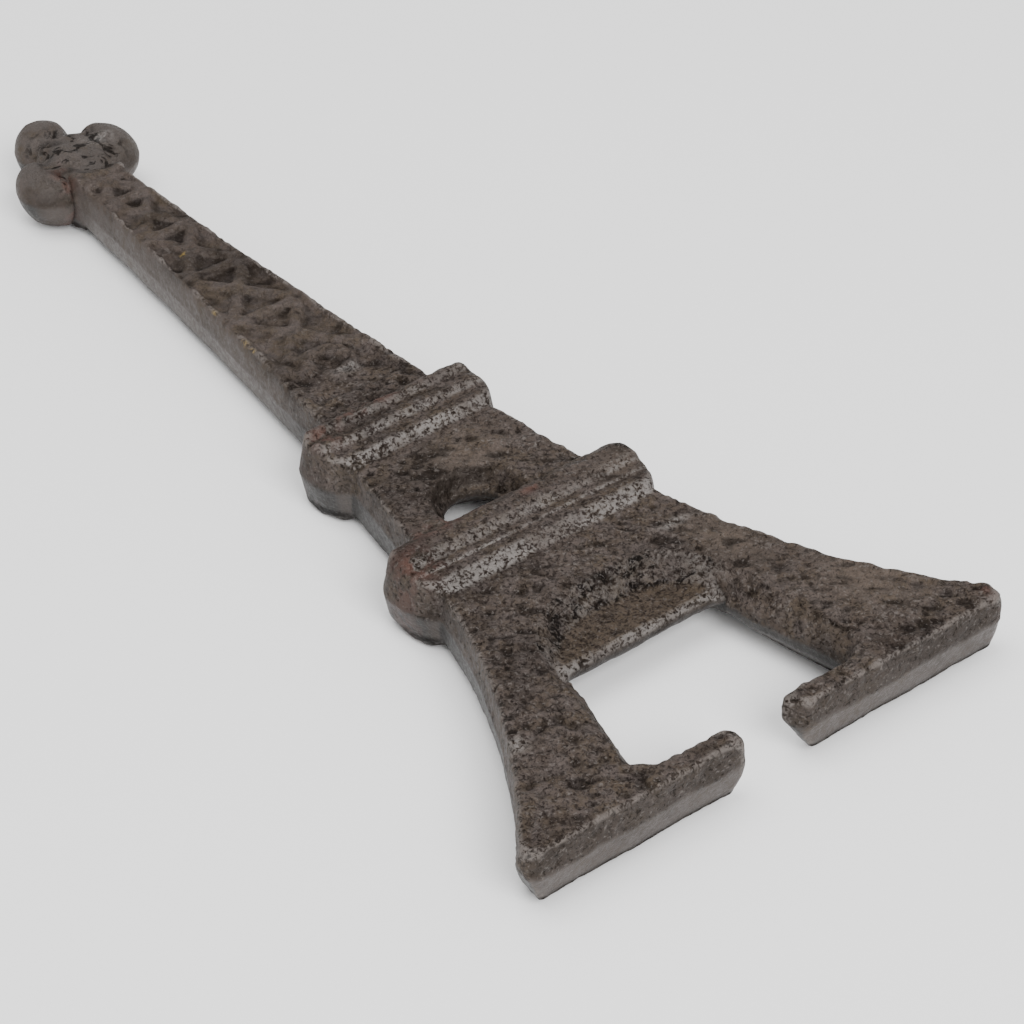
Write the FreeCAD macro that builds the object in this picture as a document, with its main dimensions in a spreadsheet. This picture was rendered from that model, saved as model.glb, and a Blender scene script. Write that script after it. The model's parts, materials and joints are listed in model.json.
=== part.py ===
import FreeCAD, Part
import math
import os
import Sketcher

# Souvenir bottle opener: one flat sand-cast iron casting in the outline of a lattice tower.
#
# It is cast in a two-part mould.  The parting plane is half way through the thickness, both faces
# carry the same relief, and every side wall has draft away from the parting plane.
#
# Frame: the opener lies on its back face, +Z up.  +X runs across the feet and +Y runs from the
# soles of the feet to the tip of the finial.  The origin is under the middle of the overall box.
# In the sketches, heights are counted along Y from the soles and widths from the centre line.

DIMENSIONS = {
    # half of the length from the soles to the tip, half of the flat body's thickness, and how far
    # the platforms' ridges stand above each face
    "half_length": 76.4,
    "half_thickness": 3.75,
    "ridge_height": 1.3,
    "draft_angle": 4.0,
    # feet
    "left_reach": 4.1,
    "left_toe_side": 1.3,
    "left_toe_back": 6.1,
    "left_toe_round": 2.0,
    "right_sole_reach": 5.0,
    "right_reach": 3.0,
    "right_toe_side": 2.2,
    "right_toe_back": 4.2,
    "right_toe_round": 1.21,
    "left_sole_half": 31.4,
    "left_foot_half": 33.5,
    "right_sole_half": 32.8,
    "right_foot_half": 35.0,
    "foot_corner": 2.2,
    "foot_back": 3.3,
    # legs, arch web and cap mouth
    "leg_flare": 86.0,
    "corner_half": 13.2,
    "mouth_foot_half": 15.0,
    "corner_top": 5.2,
    "mouth_corner": 1.9,
    "mouth_web_half": 10.5,
    "lip_line": 22.3,
    "web_top": 37.5,
    "web_top_half": 15.9,
    # dished recess round the mouth: rim on the face, floor edge below it
    "recess_depth": 2.55,
    "rim_foot": 4.4,
    "rim_foot_half": 16.6,
    "rim_spring": 18.5,
    "rim_spring_half": 13.9,
    "rim_crown": 30.6,
    "rim_crown_half": 5.0,
    "rim_bend": 11.2,
    "floor_foot_half": 15.2,
    "floor_spring": 17.8,
    "floor_spring_half": 11.7,
    "floor_crown": 28.3,
    "floor_crown_half": 4.4,
    "floor_bend": 9.9,
    # hanger bay with its arched hole
    "bay_base": 48.5,
    "bay_base_half": 12.8,
    "bay_top": 62.5,
    "bay_top_half": 10.45,
    "hole_spring": 50.8,
    "hole_left": 5.5,
    "hole_right": 3.0,
    "hole_radius": 4.3,
    "dish_left": 7.2,
    "dish_right": 4.7,
    "dish_radius": 6.05,
    "dish_floor_left": 6.3,
    "dish_floor_right": 3.8,
    "dish_floor_radius": 5.15,
    "dish_depth": 2.9,
    # wider hollow behind the hole, from under its lip to the back face
    "lip_under": 0.35,
    "hollow_left": 9.0,
    "hollow_right": 6.5,
    "hollow_radius": 7.9,
    "hollow_spring": 51.8,
    "hollow_reach": 3.8,
    # platforms
    "platform_draft": 9.0,
    "lower_depth": 11.0,
    "lower_low_half": 14.2,
    "lower_side_low": 42.0,
    "lower_side_half": 17.5,
    "lower_side_high": 45.2,
    "lower_half": 18.1,
    "lower_high_half": 14.6,
    "lower_low_round": 5.2,
    "lower_high_round": 3.4,
    "upper_depth": 9.5,
    "upper_low_half": 10.0,
    "upper_side_low": 66.4,
    "upper_side_half": 12.5,
    "upper_side_high": 69.4,
    "upper_half": 13.0,
    "upper_high_half": 10.4,
    "upper_low_round": 5.0,
    "upper_high_round": 2.7,
    # shaft and its lattice
    "shaft_base": 72.0,
    "shaft_base_half": 8.3,
    "shaft_top": 134.0,
    "shaft_top_half": 3.65,
    "shaft_flare": 1200.0,
    "panel_base": 75.5,
    "panel_base_half": 6.2,
    "panel_top": 132.4,
    "panel_top_half": 2.7,
    "panel_depth": 0.8,
    "lattice_bar": 1.5,
    "lattice_base": 83.2,
    "lattice_bays": 5.0,
    "first_bay": 12.5,
    "bay_ratio": 0.925,
    "ring_centre": 82.3,
    "ring_radius": 3.6,
    "ring_hole": 1.9,
    # finial
    "block_half": 3.5,
    "block_top": 145.6,
    "block_rise": 0.4,
    "lobe_foot": 135.6,
    "left_lobe_reach": 4.8,
    "right_lobe_reach": 5.6,
    "left_lobe_height": 140.0,
    "right_lobe_height": 142.9,
    "lobe_radius": 4.6,
    "tip_shift": 0.5,
    "tip_height": 148.8,
    "tip_radius": 4.0,
}

# The raised profile of each platform: (distance from its edge nearer the finial, height above the
# body's face).
PLATFORM_PROFILES = {
    "lower": [
        (0.8, 0.6), (2.0, 1.3), (3.8, 1.3), (5.2, 0.9), (5.8, 0.45), (6.2, 0.95), (6.7, 0.9),
        (7.2, 0.35), (7.7, 0.95), (8.3, 0.9),
    ],
    "upper": [
        (0.8, 1.1), (1.7, 1.3), (2.5, 0.7), (3.5, 0.7), (4.1, 1.25), (4.9, 1.2), (5.6, 0.7),
        (6.7, 0.7), (7.3, 1.0), (7.9, 0.9),
    ],
}

# Expressions for the height of the parting plane over the ground, and of a face over that plane.
PARTING_HEIGHT = "dims.ridge_height + dims.half_thickness"
FACE_HEIGHT = "dims.half_thickness"

document = FreeCAD.newDocument("tower_opener")
sheet = document.addObject("Spreadsheet::Sheet", "dims")
for platform, profile in PLATFORM_PROFILES.items():
    for number, (step, rise) in enumerate(profile, start=1):
        DIMENSIONS[f"{platform}_step{number}"] = step
        DIMENSIONS[f"{platform}_rise{number}"] = rise
for row, (alias, value) in enumerate(DIMENSIONS.items(), start=1):
    sheet.set(f"A{row}", alias)
    sheet.set(f"B{row}", str(value))
    sheet.setAlias(f"B{row}", alias)
document.recompute()


def dim(alias):
    """Read one driving dimension from the sheet."""
    return float(sheet.get(alias))


def signed(text):
    """Value of a coordinate written as "0", "alias" or "-alias"."""
    if text == "0":
        return 0.0
    if text.startswith("-"):
        return -dim(text[1:])
    return dim(text)


def bound(text):
    """Expression for a coordinate written as "alias" or "-alias"."""
    if text.startswith("-"):
        return f"-dims.{text[1:]}"
    return f"dims.{text}"


def origin_plane(body, role):
    """Find one of a body's own origin planes."""
    for feature in body.Origin.OriginFeatures:
        if feature.Role == role:
            return feature
    raise ValueError(role)


def new_body(label):
    """A body whose XY plane is the parting plane and whose Y starts at the soles."""
    body = document.addObject("PartDesign::Body", label)
    body.Label = label
    body.setExpression(".Placement.Base.y", "-dims.half_length")
    body.setExpression(".Placement.Base.z", PARTING_HEIGHT)
    return body


def new_sketch(body, name, role="XY_Plane", lift=None):
    """A sketch on one of the body's origin planes, lifted along its normal by an expression."""
    sketch = body.newObject("Sketcher::SketchObject", name)
    sketch.AttachmentSupport = [(origin_plane(body, role), "")]
    sketch.MapMode = "FlatFace"
    if lift:
        sketch.setExpression(".AttachmentOffset.Base.z", lift)
    return sketch


def arc_between(start, end, radius, turn):
    """Circular arc between two points; turn is 1 anticlockwise and -1 clockwise."""
    chord = end - start
    half = chord.Length / 2
    rise = math.sqrt(max(radius * radius - half * half, 0.0))
    side = FreeCAD.Vector(-chord.y, chord.x, 0).normalize() * turn
    centre = (start + end) * 0.5 + side * rise
    first, last = (start, end) if turn > 0 else (end, start)
    first_angle = math.atan2(first.y - centre.y, first.x - centre.x)
    last_angle = math.atan2(last.y - centre.y, last.x - centre.x)
    circle = Part.Circle(centre, FreeCAD.Vector(0, 0, 1), radius)
    return Part.ArcOfCircle(circle, first_angle, last_angle)


def draw_outline(sketch, corners, bends=None):
    """Draw a closed outline whose corners and arc radii are bound to the sheet.

    corners holds pairs such as ("-foot_half", "foot_back").  bends maps the number of a side to
    (radius alias, turn) where that side is an arc and not a straight line.
    """
    bends = bends or {}
    points = [FreeCAD.Vector(signed(x), signed(y), 0) for x, y in corners]
    ends = []
    for index, start in enumerate(points):
        end = points[(index + 1) % len(points)]
        if index in bends:
            radius, turn = bends[index]
            sketch.addGeometry(arc_between(start, end, dim(radius), turn))
            ends.append((1, 2) if turn > 0 else (2, 1))
        else:
            sketch.addGeometry(Part.LineSegment(start, end))
            ends.append((1, 2))
    for index, (x, y) in enumerate(corners):
        after = (index + 1) % len(corners)
        sketch.addConstraint(
            Sketcher.Constraint("Coincident", index, ends[index][1], after, ends[after][0]))
        place_corner(sketch, index, ends[index][0], x, y)
    for index, (radius, _) in bends.items():
        number = sketch.addConstraint(Sketcher.Constraint("Radius", index, dim(radius)))
        sketch.setExpression(f"Constraints[{number}]", bound(radius))


def place_corner(sketch, side, end, x, y):
    """Hold one corner at its bound distances from the two axes."""
    for kind, axis, text in (("DistanceX", -2, x), ("DistanceY", -1, y)):
        if text == "0":
            sketch.addConstraint(Sketcher.Constraint("PointOnObject", side, end, axis))
            continue
        number = sketch.addConstraint(
            Sketcher.Constraint(kind, -1, 1, side, end, signed(text)))
        sketch.setExpression(f"Constraints[{number}]", bound(text))


def pad_up(body, sketch, name, length):
    """Pad a sketch along its normal."""
    pad = body.newObject("PartDesign::Pad", name)
    pad.Profile = sketch
    pad.setExpression("Length", length)
    document.recompute()
    return pad


def pocket_down(body, sketch, name, depth):
    """Pocket a sketch against its normal."""
    pocket = body.newObject("PartDesign::Pocket", name)
    pocket.Profile = sketch
    pocket.setExpression("Length", depth)
    document.recompute()
    return pocket


def draft_walls(body, base, name, angle="draft_angle"):
    """Give every upright wall of a padded half its draft away from the parting plane."""
    walls = []
    for number, face in enumerate(base.Shape.Faces, start=1):
        if abs(face.normalAt(0, 0).z) < 0.5:
            walls.append(f"Face{number}")
    draft = body.newObject("PartDesign::Draft", name)
    draft.Base = (base, walls)
    draft.NeutralPlane = (origin_plane(body, "XY_Plane"), [""])
    draft.setExpression("Angle", bound(angle))
    document.recompute()


def sloping_recess(body, name, rim, floor, lift, depth):
    """Cut a recess with sloping sides between a rim outline and a smaller floor outline."""
    rim_sketch = new_sketch(body, f"{name}_rim", lift=lift)
    draw_outline(rim_sketch, *rim)
    floor_sketch = new_sketch(body, f"{name}_floor", lift=f"{lift} - {depth}")
    draw_outline(floor_sketch, *floor)
    document.recompute()
    loft = body.newObject("PartDesign::SubtractiveLoft", name)
    loft.Profile = rim_sketch
    loft.Sections = [floor_sketch]
    loft.Ruled = True
    document.recompute()


def both_halves(half, label):
    """Fuse a half with its mirror image in the parting plane."""
    mirror = document.addObject("Part::Mirroring", f"{label}_back_half")
    mirror.Source = half
    mirror.Normal = FreeCAD.Vector(0, 0, 1)
    mirror.setExpression(".Base.z", PARTING_HEIGHT)
    whole = document.addObject("Part::Fuse", label)
    whole.Label = label
    whole.Base = half
    whole.Tool = mirror
    whole.Refine = True
    document.recompute()
    return whole


def region(blank, label, low, high, side="both"):
    """The part of the blank between two heights, on one side of the centre line or on both."""
    box = document.addObject("Part::Box", f"{label}_band")
    reach = "dims.right_foot_half"
    box.setExpression("Length", f"{reach} * 2" if side == "both" else reach)
    box.setExpression("Width", f"{bound(high)} - {low_bound(low)}")
    box.setExpression("Height", f"({PARTING_HEIGHT}) * 2")
    if side != "right":
        box.setExpression(".Placement.Base.x", f"-{reach}")
    box.setExpression(".Placement.Base.y", f"{low_bound(low)} - dims.half_length")
    common = document.addObject("Part::Common", label)
    common.Label = label
    common.Base = blank
    common.Tool = box
    document.recompute()
    return common


def low_bound(text):
    """Expression for a lower height, where "0" means the soles."""
    return "0" if text == "0" else bound(text)


def make_blank():
    """The whole flat body of the casting, before it is divided into its regions."""
    half = new_body("casting_half")
    outline = new_sketch(half, "casting_outline")
    corners = [
        ("right_sole_reach", "0"), ("right_sole_half", "0"), ("right_foot_half", "foot_corner"),
        ("web_top_half", "web_top"), ("bay_base_half", "bay_base"), ("bay_top_half", "bay_top"),
        ("shaft_base_half", "shaft_base"), ("shaft_top_half", "shaft_top"),
        ("-shaft_top_half", "shaft_top"), ("-shaft_base_half", "shaft_base"),
        ("-bay_top_half", "bay_top"), ("-bay_base_half", "bay_base"),
        ("-web_top_half", "web_top"), ("-left_foot_half", "foot_corner"), ("-left_sole_half", "0"),
        ("-left_reach", "0"), ("-left_reach", "left_toe_side"), ("-left_toe_back", "foot_back"),
        ("-corner_half", "foot_back"), ("-mouth_foot_half", "corner_top"),
        ("-mouth_web_half", "lip_line"), ("mouth_web_half", "lip_line"),
        ("mouth_foot_half", "corner_top"), ("corner_half", "foot_back"),
        ("right_toe_back", "foot_back"), ("right_reach", "right_toe_side"),
    ]
    bends = {
        1: ("foot_corner", 1), 2: ("leg_flare", -1), 6: ("shaft_flare", -1),
        8: ("shaft_flare", -1), 12: ("leg_flare", -1), 13: ("foot_corner", 1),
        16: ("left_toe_round", 1), 18: ("mouth_corner", -1), 22: ("mouth_corner", -1),
        24: ("right_toe_round", 1),
    }
    draw_outline(outline, corners, bends)
    document.recompute()
    pad = pad_up(half, outline, "casting_pad", FACE_HEIGHT)
    draft_walls(half, pad, "casting_draft")
    add_mouth_recess(half)
    add_hanging_hole(half)
    add_shaft_panel(half)
    whole = both_halves(half, "casting_halves")
    blank = document.addObject("Part::Cut", "casting_blank")
    blank.Base = whole
    blank.Tool = make_hollow()
    document.recompute()
    return blank


def add_mouth_recess(half):
    """The dished arch round the cap mouth, which leaves a thin lip at the parting plane."""
    rim = [
        ("rim_foot_half", "rim_foot"), ("rim_spring_half", "rim_spring"),
        ("rim_crown_half", "rim_crown"), ("-rim_crown_half", "rim_crown"),
        ("-rim_spring_half", "rim_spring"), ("-rim_foot_half", "rim_foot"),
    ]
    floor = [
        ("floor_foot_half", "rim_foot"), ("floor_spring_half", "floor_spring"),
        ("floor_crown_half", "floor_crown"), ("-floor_crown_half", "floor_crown"),
        ("-floor_spring_half", "floor_spring"), ("-floor_foot_half", "rim_foot"),
    ]
    sloping_recess(
        half, "mouth_recess",
        (rim, {1: ("rim_bend", 1), 3: ("rim_bend", 1)}),
        (floor, {1: ("floor_bend", 1), 3: ("floor_bend", 1)}),
        FACE_HEIGHT, "dims.recess_depth")


def arch(left, right, radius, spring="hole_spring"):
    """An arched outline that stands on the lower platform."""
    corners = [
        (right, "bay_base"), (right, spring), (f"-{left}", spring), (f"-{left}", "bay_base"),
    ]
    return corners, {1: (radius, 1)}


def make_hollow():
    """The wide sloping hollow that opens behind the hanging hole, onto the back face."""
    hollow = new_body("hole_hollow")
    small = new_sketch(hollow, "hollow_lip", lift="-dims.lip_under")
    draw_outline(small, *arch("hole_left", "hole_right", "hole_radius"))
    wide = new_sketch(hollow, "hollow_back", lift="-dims.hollow_reach")
    draw_outline(wide, *arch("hollow_left", "hollow_right", "hollow_radius", "hollow_spring"))
    document.recompute()
    loft = hollow.newObject("PartDesign::AdditiveLoft", "hollow_loft")
    loft.Profile = small
    loft.Sections = [wide]
    loft.Ruled = True
    document.recompute()
    return hollow


def add_hanging_hole(half):
    """The arched hanging hole, with a dished surround on the face."""
    sloping_recess(
        half, "hole_dish",
        arch("dish_left", "dish_right", "dish_radius"),
        arch("dish_floor_left", "dish_floor_right", "dish_floor_radius"),
        FACE_HEIGHT, "dims.dish_depth")
    hole = new_sketch(half, "hole_outline", lift=FACE_HEIGHT)
    draw_outline(hole, *arch("hole_left", "hole_right", "hole_radius"))
    document.recompute()
    pocket_down(half, hole, "hanging_hole", FACE_HEIGHT)


def panel_corners():
    """The long tapering panel on the shaft, which holds the lattice."""
    return [
        ("panel_base_half", "panel_base"), ("panel_top_half", "panel_top"),
        ("-panel_top_half", "panel_top"), ("-panel_base_half", "panel_base"),
    ]


def add_shaft_panel(half):
    """Sink the shaft's panel below its raised border."""
    outline = new_sketch(half, "panel_outline", lift=FACE_HEIGHT)
    draw_outline(outline, panel_corners())
    document.recompute()
    pocket_down(half, outline, "shaft_panel", "dims.panel_depth")


def make_platform(blank, name, low, high):
    """A ridged platform: a profiled bar with rounded ends over the body's own section."""
    bar = new_body(f"{name}_bar")
    profile = new_sketch(bar, f"{name}_profile", role="YZ_Plane")
    profile.setExpression(".AttachmentOffset.Base.x", bound(high))
    profile.setExpression(".AttachmentOffset.Base.y", FACE_HEIGHT)
    steps = [(f"-{name}_step{number}", f"{name}_rise{number}")
             for number in range(1, len(PLATFORM_PROFILES[name]) + 1)]
    corners = [("0", "-half_thickness"), ("0", "0"), *steps,
               (f"-{name}_depth", "0"), (f"-{name}_depth", "-half_thickness")]
    draw_outline(profile, corners)
    document.recompute()
    pad = pad_up(bar, profile, f"{name}_bar_pad", f"dims.{name}_half * 2")
    pad.SideType = "Symmetric"

    plan = new_body(f"{name}_plan")
    outline = new_sketch(plan, f"{name}_outline")
    right = [
        (f"{name}_low_half", low), (f"{name}_side_half", f"{name}_side_low"),
        (f"{name}_half", f"{name}_side_high"), (f"{name}_high_half", high),
    ]
    left = [(f"-{x}", y) for x, y in reversed(right)]
    low_round, high_round = (f"{name}_low_round", 1), (f"{name}_high_round", 1)
    draw_outline(outline, right + left, {0: low_round, 2: high_round, 4: high_round, 6: low_round})
    document.recompute()
    slab = pad_up(plan, outline, f"{name}_slab", f"{FACE_HEIGHT} + dims.ridge_height")
    draft_walls(plan, slab, f"{name}_slab_draft", "platform_draft")

    common = document.addObject("Part::Common", f"{name}_half")
    common.Base = bar
    common.Tool = plan
    document.recompute()
    whole = both_halves(common, f"{name}_ridges")
    band = region(blank, f"{name}_core", low, high)
    platform = document.addObject("Part::Fuse", f"{name}_platform")
    platform.Label = f"{name}_platform"
    platform.Base = whole
    platform.Tool = band
    platform.Refine = True
    document.recompute()
    return platform


def make_lattice():
    """The raised lattice in the shaft's panel, on both faces: crossed bars and one ring."""
    bars = []
    height = dim("lattice_base")
    bay = dim("first_bay")
    for number in range(int(dim("lattice_bays"))):
        top = height + bay
        low_half, high_half = panel_half(height), panel_half(top)
        bars.append(lattice_bar(f"brace{number}a", (-low_half, height), (high_half, top)))
        bars.append(lattice_bar(f"brace{number}b", (low_half, height), (-high_half, top)))
        bars.append(lattice_bar(f"rung{number}", (-high_half, top), (high_half, top)))
        height = top
        bay *= dim("bay_ratio")
    bars.append(lattice_ring())
    grid = document.addObject("Part::MultiFuse", "lattice_grid")
    grid.Shapes = bars
    panel = new_body("lattice_panel")
    outline = new_sketch(panel, "lattice_outline", lift=f"{FACE_HEIGHT} - dims.panel_depth")
    draw_outline(outline, panel_corners())
    document.recompute()
    pad_up(panel, outline, "lattice_pad", "dims.panel_depth")
    trimmed = document.addObject("Part::Common", "lattice_front")
    trimmed.Base = grid
    trimmed.Tool = panel
    document.recompute()
    mirror = document.addObject("Part::Mirroring", "lattice_back")
    mirror.Source = trimmed
    mirror.Normal = FreeCAD.Vector(0, 0, 1)
    mirror.setExpression(".Base.z", PARTING_HEIGHT)
    lattice = document.addObject("Part::Compound", "shaft_lattice")
    lattice.Label = "shaft_lattice"
    lattice.Links = [trimmed, mirror]
    document.recompute()
    return lattice


def panel_half(height):
    """Half-width of the shaft's panel at a height above the soles."""
    base, top = dim("panel_base"), dim("panel_top")
    share = (height - base) / (top - base)
    return dim("panel_base_half") + share * (dim("panel_top_half") - dim("panel_base_half"))


def lattice_bar(name, start, end):
    """One flat bar from start to end on the panel's floor."""
    along = FreeCAD.Vector(end[0] - start[0], end[1] - start[1], 0)
    across = FreeCAD.Vector(along.y, -along.x, 0).normalize() * (dim("lattice_bar") / 2)
    bar = document.addObject("Part::Box", name)
    bar.Length = along.Length
    bar.setExpression("Width", "dims.lattice_bar")
    bar.setExpression("Height", "dims.panel_depth")
    angle = math.degrees(math.atan2(along.y, along.x))
    floor = dim("ridge_height") + dim("half_thickness") * 2 - dim("panel_depth")
    corner = FreeCAD.Vector(start[0], start[1] - dim("half_length"), floor) + across
    bar.Placement = FreeCAD.Placement(corner, FreeCAD.Rotation(FreeCAD.Vector(0, 0, 1), angle))
    return bar


def lattice_ring():
    """The round boss with a hollow centre at the foot of the lattice."""
    cylinders = []
    for name, radius in (("ring_outside", "ring_radius"), ("ring_inside", "ring_hole")):
        cylinder = document.addObject("Part::Cylinder", name)
        cylinder.setExpression("Radius", bound(radius))
        cylinder.setExpression("Height", "dims.panel_depth")
        cylinder.setExpression(".Placement.Base.y", "dims.ring_centre - dims.half_length")
        cylinder.setExpression(".Placement.Base.z",
                               f"{PARTING_HEIGHT} + {FACE_HEIGHT} - dims.panel_depth")
        cylinders.append(cylinder)
    ring = document.addObject("Part::Cut", "lattice_ring")
    ring.Base, ring.Tool = cylinders
    return ring


def make_finial_block():
    """The rough block at the top of the shaft, which carries the three lobes."""
    half = new_body("block_half_body")
    outline = new_sketch(half, "block_outline")
    corners = [
        ("shaft_top_half", "shaft_top"), ("block_half", "lobe_foot"), ("block_half", "block_top"),
        ("-block_half", "block_top"), ("-block_half", "lobe_foot"),
        ("-shaft_top_half", "shaft_top"),
    ]
    draw_outline(outline, corners)
    document.recompute()
    pad_up(half, outline, "block_pad", f"{FACE_HEIGHT} + dims.block_rise")
    return both_halves(half, "finial_block")


def make_lobe(label, across, height, radius, keep, turn=0):
    """One rounded lobe, cut flat where it grows out of the finial block.

    across and height are expressions for its centre, and keep holds the lowest corner of the
    space it fills, as expressions from the centre line and the soles.  turn brings the ball's
    seam round to the side that is kept.
    """
    ball = document.addObject("Part::Sphere", f"{label}_ball")
    ball.Placement.Rotation = FreeCAD.Rotation(FreeCAD.Vector(0, 0, 1), turn)
    ball.setExpression("Radius", bound(radius))
    ball.setExpression(".Placement.Base.x", across)
    ball.setExpression(".Placement.Base.y", f"{height} - dims.half_length")
    ball.setExpression(".Placement.Base.z", PARTING_HEIGHT)
    space = document.addObject("Part::Box", f"{label}_space")
    for side in ("Length", "Width", "Height"):
        space.setExpression(side, f"{bound(radius)} * 4")
    space.setExpression(".Placement.Base.x", keep[0])
    space.setExpression(".Placement.Base.y", f"{keep[1]} - dims.half_length")
    space.setExpression(".Placement.Base.z", f"{PARTING_HEIGHT} - {bound(radius)} * 2")
    lobe = document.addObject("Part::Common", label)
    lobe.Label = label
    lobe.Base = ball
    lobe.Tool = space
    document.recompute()
    return lobe


blank = make_blank()
subparts = [
    region(blank, "left_foot", "0", "foot_back", "left"),
    region(blank, "right_foot", "0", "foot_back", "right"),
    region(blank, "left_leg", "foot_back", "lip_line", "left"),
    region(blank, "right_leg", "foot_back", "lip_line", "right"),
    region(blank, "arch_web", "lip_line", "web_top"),
    make_platform(blank, "lower", "web_top", "bay_base"),
    region(blank, "hanger_bay", "bay_base", "bay_top"),
    make_platform(blank, "upper", "bay_top", "shaft_base"),
    region(blank, "shaft", "shaft_base", "shaft_top"),
    make_lattice(),
    make_finial_block(),
    make_lobe("finial_left_lobe", "-dims.left_lobe_reach", "dims.left_lobe_height", "lobe_radius",
              ("-dims.block_half - dims.lobe_radius * 4",
               "dims.left_lobe_height - dims.lobe_radius * 2"), turn=180),
    make_lobe("finial_right_lobe", "dims.right_lobe_reach", "dims.right_lobe_height",
              "lobe_radius",
              ("dims.block_half", "dims.right_lobe_height - dims.lobe_radius * 2")),
    make_lobe("finial_tip", "-dims.tip_shift", "dims.tip_height", "tip_radius",
              ("-dims.tip_radius * 2", "dims.block_top")),
]

# The right foot is longer than the left one, so the parts are shifted to centre the overall box.
for item in subparts:
    item.setExpression(".Placement.Base.x", "(dims.left_foot_half - dims.right_foot_half) / 2")
document.recompute()

for item in document.Objects:
    if "Invalid" in item.State or "Error" in item.State:
        raise RuntimeError(f"{item.Label} failed: {item.getStatusString()}")
for item in subparts:
    if item.Shape.isNull() or not item.Shape.isValid():
        raise RuntimeError(f"{item.Label} has no valid shape")

os.makedirs("parts", exist_ok=True)
for item in subparts:
    item.Shape.exportStep(f"parts/{item.Label}.step")
    box = item.Shape.BoundBox
    print(f"{item.Label}: {len(item.Shape.Solids)} solids, {item.Shape.Volume:.1f} mm3,"
          f" Y {box.YMin:.2f} to {box.YMax:.2f}, Z {box.ZMin:.2f} to {box.ZMax:.2f}")
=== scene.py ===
import json
import math
from types import SimpleNamespace

import bmesh
import bpy
import numpy as np
import openvdb
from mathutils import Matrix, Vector


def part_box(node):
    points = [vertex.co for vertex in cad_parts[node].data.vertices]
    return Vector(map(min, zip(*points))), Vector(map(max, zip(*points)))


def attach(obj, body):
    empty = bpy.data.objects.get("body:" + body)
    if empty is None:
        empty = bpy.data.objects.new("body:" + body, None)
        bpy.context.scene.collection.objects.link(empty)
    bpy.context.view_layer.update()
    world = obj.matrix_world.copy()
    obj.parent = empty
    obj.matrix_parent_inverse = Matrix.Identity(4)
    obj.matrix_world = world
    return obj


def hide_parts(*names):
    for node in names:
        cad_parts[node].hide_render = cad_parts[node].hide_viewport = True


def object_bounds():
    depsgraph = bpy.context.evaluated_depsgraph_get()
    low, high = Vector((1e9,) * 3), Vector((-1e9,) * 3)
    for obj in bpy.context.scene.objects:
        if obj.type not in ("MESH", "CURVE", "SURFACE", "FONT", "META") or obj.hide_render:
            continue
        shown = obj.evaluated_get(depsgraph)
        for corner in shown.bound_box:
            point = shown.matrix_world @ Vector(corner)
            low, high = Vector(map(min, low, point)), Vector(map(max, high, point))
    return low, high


# Looks for the cast-iron tower opener.
#
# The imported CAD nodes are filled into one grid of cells, whose edges are softened as a sand mould
# softens them.  The skin of that grid is roughened with seeded noise and cut on the planes where
# the CAD nodes meet.  Each closed piece then stands for its own node.
# Lengths are in millimetres, in the CAD frame, until a piece or the stage is made in metres.

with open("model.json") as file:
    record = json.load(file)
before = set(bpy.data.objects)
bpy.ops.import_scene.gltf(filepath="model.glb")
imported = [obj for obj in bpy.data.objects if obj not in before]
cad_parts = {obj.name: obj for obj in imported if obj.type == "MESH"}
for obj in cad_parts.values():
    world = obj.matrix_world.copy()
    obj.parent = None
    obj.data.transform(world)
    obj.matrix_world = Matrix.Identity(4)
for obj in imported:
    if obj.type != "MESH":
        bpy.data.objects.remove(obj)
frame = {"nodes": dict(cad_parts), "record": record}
cad_low, cad_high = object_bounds()

MM = 0.001
# side of a grid cell, empty cells round the object, and cells that a level set holds on each side
CELL = 0.25
MARGIN = 8
LEVEL_REACH = 3.0
# width of the blur that rounds the edges, and of the wide one that tells crests from hollows
SOFTENING = 0.28
WIDE_SOFTENING = 0.95
# how near to a cut's plane a point counts as on it
CUT_TOLERANCE = 1e-5

# Landmarks: the corners of the whole object, the foot of each region, and the middle planes.
LOW = np.array(cad_low) / MM
HIGH = np.array(cad_high) / MM
NODES = [entry["node"] for entry in frame["record"]["subparts"]]
BOXES = {name: [np.array(corner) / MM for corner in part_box(name)] for name in NODES}
SOLES = LOW[1]
LIP_LINE = BOXES["left_leg"][1][1]
LOWER_FOOT = BOXES["lower_platform"][0][1]
BAY_FOOT = BOXES["hanger_bay"][0][1]
UPPER_FOOT = BOXES["upper_platform"][0][1]
SHAFT_FOOT = BOXES["shaft"][0][1]
FINIAL_FOOT = BOXES["finial_block"][0][1]
TIP = HIGH[1]
BACK = BOXES["left_foot"][0][2]
PARTING = (LOW[2] + HIGH[2]) / 2
AXIS = (BOXES["shaft"][0][0] + BOXES["shaft"][1][0]) / 2


# --- noise and soft steps ------------------------------------------------------------------------

# The noise has a grid of its own, turned away from the object's axes so that it doesn't show.
TURN = np.array([[0.80, 0.56, 0.22], [-0.60, 0.74, 0.30], [0.005, -0.372, 0.928]])

# Layers of noise: height, size of the lumps (one, or one along each axis) and seed.
LAYERS = {
    "parting": (0.30, 5.0, 10),
    "parting_fine": (0.16, 1.6, 11),
    "casting": (0.10, 9.0, 1),
    "casting_fine": (0.09, 4.4, 2),
    "finial": (0.42, 4.2, 13),
    "hammered": (0.15, (2.4, 1.6, 2.0), 3),
    "grain": (0.11, 0.72, 5),
    "crumbled": (0.62, 2.7, 7),
    "crumbled_fine": (0.26, 1.2, 8),
    "arch": (0.25, 5.0, 12),
}


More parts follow.
